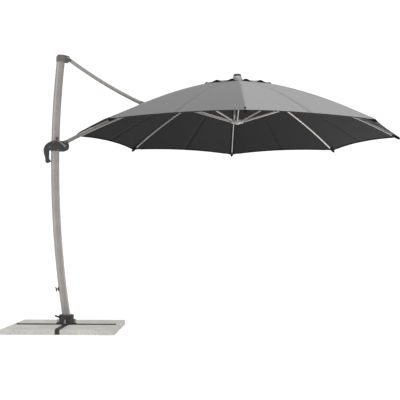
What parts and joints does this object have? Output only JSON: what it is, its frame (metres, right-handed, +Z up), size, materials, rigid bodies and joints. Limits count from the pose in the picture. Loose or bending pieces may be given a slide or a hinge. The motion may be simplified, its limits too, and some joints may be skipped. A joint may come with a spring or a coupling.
{
  "type": "cantilever parasol",
  "caption": "Cantilever parasol with a bowed side mast on a slab-ballasted cross base, a folding boom on a crank slider, and an octagonal vented canopy.",
  "frame": {"origin": "on the ground, at the turning axis of the mast", "axes": "+Z up; the mast's bow, the boom and the stay lie in the XZ plane, with the boom along +X; the cross base is turned by 22.5 degrees from it"},
  "size_m": [4.1452, 3.2386, 2.711],
  "materials": {
    "frame_black": "satin",
    "end_plastic": "matte",
    "slab_concrete": "matte",
    "plate_black": "satin",
    "zinc": "satin",
    "housing_plastic": "matte",
    "mast_aluminium": "satin",
    "head_casting": "satin",
    "clevis_plastic": "matte",
    "fitting_casting": "satin",
    "black_plastic": "satin",
    "frame_aluminium": "satin",
    "hub_casting": "satin",
    "canopy_fabric": "matte"
  },
  "bodies": {
    "base": {"cross_frame": "frame_black", "arm_cap_1": "end_plastic", "arm_cap_2": "end_plastic", "arm_cap_3": "end_plastic", "arm_cap_4": "end_plastic", "slab_1": "slab_concrete", "slab_2": "slab_concrete", "slab_3": "slab_concrete", "slab_4": "slab_concrete", "turn_plate": "plate_black", "turn_bolts": "zinc", "bearing_ring": "housing_plastic"},
    "mast": {"turret_housing": "housing_plastic", "pedal_pin": "zinc", "mast_tube": "mast_aluminium", "mast_cleat": "black_plastic", "head_cap": "head_casting", "head_clevis": "clevis_plastic", "head_pin": "zinc"},
    "pedal": {"foot_pedal": "black_plastic"},
    "stay": {"stay_tube": "frame_aluminium", "stay_eye": "fitting_casting", "stay_fork": "clevis_plastic"},
    "boom": {"boom_tube": "frame_aluminium", "boom_foot": "clevis_plastic", "boom_neck": "fitting_casting", "mid_pin": "zinc"},
    "slider": {"slider_housing": "housing_plastic", "slider_pin": "zinc", "winch_cover": "black_plastic", "slider_screws": "zinc"},
    "grip": {"grip_lever": "housing_plastic"},
    "crank": {"crank_arm": "frame_aluminium"},
    "knob": {"crank_knob": "black_plastic"},
    "crown": {"crown_hub": "hub_casting", "crown_pins": "zinc", "finial": "black_plastic", "canopy": "canopy_fabric", "vent_cap": "canopy_fabric"},
    "rib_1": {"rib_1": "frame_aluminium"},
    "rib_2": {"rib_2": "frame_aluminium"},
    "rib_3": {"rib_3": "frame_aluminium"},
    "rib_4": {"rib_4": "frame_aluminium"},
    "rib_5": {"rib_5": "frame_aluminium"},
    "rib_6": {"rib_6": "frame_aluminium"},
    "rib_7": {"rib_7": "frame_aluminium"},
    "rib_8": {"rib_8": "frame_aluminium"},
    "stretcher_1": {"stretcher_1": "frame_aluminium"},
    "stretcher_2": {"stretcher_2": "frame_aluminium"},
    "stretcher_3": {"stretcher_3": "frame_aluminium"},
    "stretcher_4": {"stretcher_4": "frame_aluminium"},
    "stretcher_5": {"stretcher_5": "frame_aluminium"},
    "stretcher_6": {"stretcher_6": "frame_aluminium"},
    "stretcher_7": {"stretcher_7": "frame_aluminium"},
    "stretcher_8": {"stretcher_8": "frame_aluminium"},
    "runner": {"runner_hub": "hub_casting", "runner_pins": "zinc"}
  },
  "joints": [
    {"name": "mast_turn", "type": "hinge", "parent": "base", "child": "mast", "pos_m": [0, 0, 0.07], "axis": [0, 0, 1], "continuous": true},
    {"name": "pedal_press", "type": "hinge", "parent": "mast", "child": "pedal", "pos_m": [-0.056, 0, 0.123], "axis": [0, -1, 0], "range_deg": [0, 12], "stiffness_Nm_per_rad": 4, "springref_deg": -17.19},
    {"name": "boom_fold", "type": "hinge", "parent": "mast", "child": "stay", "pos_m": [-0.028, 0, 2.688], "axis": [0, 1, 0], "range_deg": [-3, 37]},
    {"name": "boom_swing", "type": "hinge", "parent": "stay", "child": "boom", "pos_m": [0.83, 0, 2.26], "axis": [0, 1, 0], "range_deg": [-76.5, 7]},
    {"name": "slider_swing", "type": "hinge", "parent": "boom", "child": "slider", "pos_m": [-0.047, 0, 1.835], "axis": [0, 1, 0], "range_deg": [-3.5, 34]},
    {"name": "grip_pull", "type": "hinge", "parent": "slider", "child": "grip", "pos_m": [-0.198, 0, 1.786], "axis": [0, 1, 0], "range_deg": [0, 12], "stiffness_Nm_per_rad": 3, "springref_deg": -17.19},
    {"name": "crank_turn", "type": "hinge", "parent": "slider", "child": "crank", "pos_m": [-0.052, 0, 1.8], "axis": [0, 1, 0], "continuous": true},
    {"name": "knob_spin", "type": "hinge", "parent": "crank", "child": "knob", "pos_m": [-0.13671, -0.07, 1.8686], "axis": [0, 1, 0], "continuous": true},
    {"name": "canopy_hang", "type": "hinge", "parent": "boom", "child": "crown", "pos_m": [1.84, 0, 2.56441], "axis": [0, 1, 0], "range_deg": [0, 40]},
    {"name": "canopy_fold", "type": "hinge", "parent": "crown", "child": "rib_1", "pos_m": [1.89081, 0.02105, 2.60913], "axis": [-0.3827, 0.9239, 0], "range_deg": [0, 69.6], "deforming": ["canopy", "vent_cap"]},
    {"name": "rib_fold_2", "type": "hinge", "parent": "crown", "child": "rib_2", "pos_m": [1.86105, 0.05081, 2.60913], "axis": [-0.9239, 0.3827, 0], "range_deg": [0, 69.6]},
    {"name": "rib_fold_3", "type": "hinge", "parent": "crown", "child": "rib_3", "pos_m": [1.81895, 0.05081, 2.60913], "axis": [-0.9239, -0.3827, 0], "range_deg": [0, 69.6]},
    {"name": "rib_fold_4", "type": "hinge", "parent": "crown", "child": "rib_4", "pos_m": [1.78919, 0.02105, 2.60913], "axis": [-0.3827, -0.9239, 0], "range_deg": [0, 69.6]},
    {"name": "rib_fold_5", "type": "hinge", "parent": "crown", "child": "rib_5", "pos_m": [1.78919, -0.02105, 2.60913], "axis": [0.3827, -0.9239, 0], "range_deg": [0, 69.6]},
    {"name": "rib_fold_6", "type": "hinge", "parent": "crown", "child": "rib_6", "pos_m": [1.81895, -0.05081, 2.60913], "axis": [0.9239, -0.3827, 0], "range_deg": [0, 69.6]},
    {"name": "rib_fold_7", "type": "hinge", "parent": "crown", "child": "rib_7", "pos_m": [1.86105, -0.05081, 2.60913], "axis": [0.9239, 0.3827, 0], "range_deg": [0, 69.6]},
    {"name": "rib_fold_8", "type": "hinge", "parent": "crown", "child": "rib_8", "pos_m": [1.89081, -0.02105, 2.60913], "axis": [0.3827, 0.9239, 0], "range_deg": [0, 69.6]},
    {"name": "stretcher_swing_1", "type": "hinge", "parent": "rib_1", "child": "stretcher_1", "pos_m": [2.55347, 0.29553, 2.38614], "axis": [-0.3827, 0.9239, 0], "range_deg": [-139.2, 0]},
    {"name": "stretcher_swing_2", "type": "hinge", "parent": "rib_2", "child": "stretcher_2", "pos_m": [2.13553, 0.71347, 2.38614], "axis": [-0.9239, 0.3827, 0], "range_deg": [-139.2, 0]},
    {"name": "stretcher_swing_3", "type": "hinge", "parent": "rib_3", "child": "stretcher_3", "pos_m": [1.54447, 0.71347, 2.38614], "axis": [-0.9239, -0.3827, 0], "range_deg": [-139.2, 0]},
    {"name": "stretcher_swing_4", "type": "hinge", "parent": "rib_4", "child": "stretcher_4", "pos_m": [1.12653, 0.29553, 2.38614], "axis": [-0.3827, -0.9239, 0], "range_deg": [-139.2, 0]},
    {"name": "stretcher_swing_5", "type": "hinge", "parent": "rib_5", "child": "stretcher_5", "pos_m": [1.12653, -0.29553, 2.38614], "axis": [0.3827, -0.9239, 0], "range_deg": [-139.2, 0]},
    {"name": "stretcher_swing_6", "type": "hinge", "parent": "rib_6", "child": "stretcher_6", "pos_m": [1.54447, -0.71347, 2.38614], "axis": [0.9239, -0.3827, 0], "range_deg": [-139.2, 0]},
    {"name": "stretcher_swing_7", "type": "hinge", "parent": "rib_7", "child": "stretcher_7", "pos_m": [2.13553, -0.71347, 2.38614], "axis": [0.9239, 0.3827, 0], "range_deg": [-139.2, 0]},
    {"name": "stretcher_swing_8", "type": "hinge", "parent": "rib_8", "child": "stretcher_8", "pos_m": [2.55347, -0.29553, 2.38614], "axis": [0.3827, 0.9239, 0], "range_deg": [-139.2, 0]},
    {"name": "runner_travel", "type": "hinge", "parent": "stretcher_1", "child": "runner", "pos_m": [1.89081, 0.02105, 2.16316], "axis": [-0.3827, 0.9239, 0], "range_deg": [0, 69.6]}
  ],
  "couplings": [
    {"joint": "boom_swing", "follows": "boom_fold", "ratio": -2.048},
    {"joint": "slider_swing", "follows": "boom_fold", "ratio": 0.897},
    {"joint": "rib_fold_2", "follows": "canopy_fold", "ratio": 1},
    {"joint": "rib_fold_3", "follows": "canopy_fold", "ratio": 1},
    {"joint": "rib_fold_4", "follows": "canopy_fold", "ratio": 1},
    {"joint": "rib_fold_5", "follows": "canopy_fold", "ratio": 1},
    {"joint": "rib_fold_6", "follows": "canopy_fold", "ratio": 1},
    {"joint": "rib_fold_7", "follows": "canopy_fold", "ratio": 1},
    {"joint": "rib_fold_8", "follows": "canopy_fold", "ratio": 1},
    {"joint": "stretcher_swing_1", "follows": "canopy_fold", "ratio": -2},
    {"joint": "stretcher_swing_2", "follows": "canopy_fold", "ratio": -2},
    {"joint": "stretcher_swing_3", "follows": "canopy_fold", "ratio": -2},
    {"joint": "stretcher_swing_4", "follows": "canopy_fold", "ratio": -2},
    {"joint": "stretcher_swing_5", "follows": "canopy_fold", "ratio": -2},
    {"joint": "stretcher_swing_6", "follows": "canopy_fold", "ratio": -2},
    {"joint": "stretcher_swing_7", "follows": "canopy_fold", "ratio": -2},
    {"joint": "stretcher_swing_8", "follows": "canopy_fold", "ratio": -2},
    {"joint": "runner_travel", "follows": "canopy_fold", "ratio": 1}
  ]
}
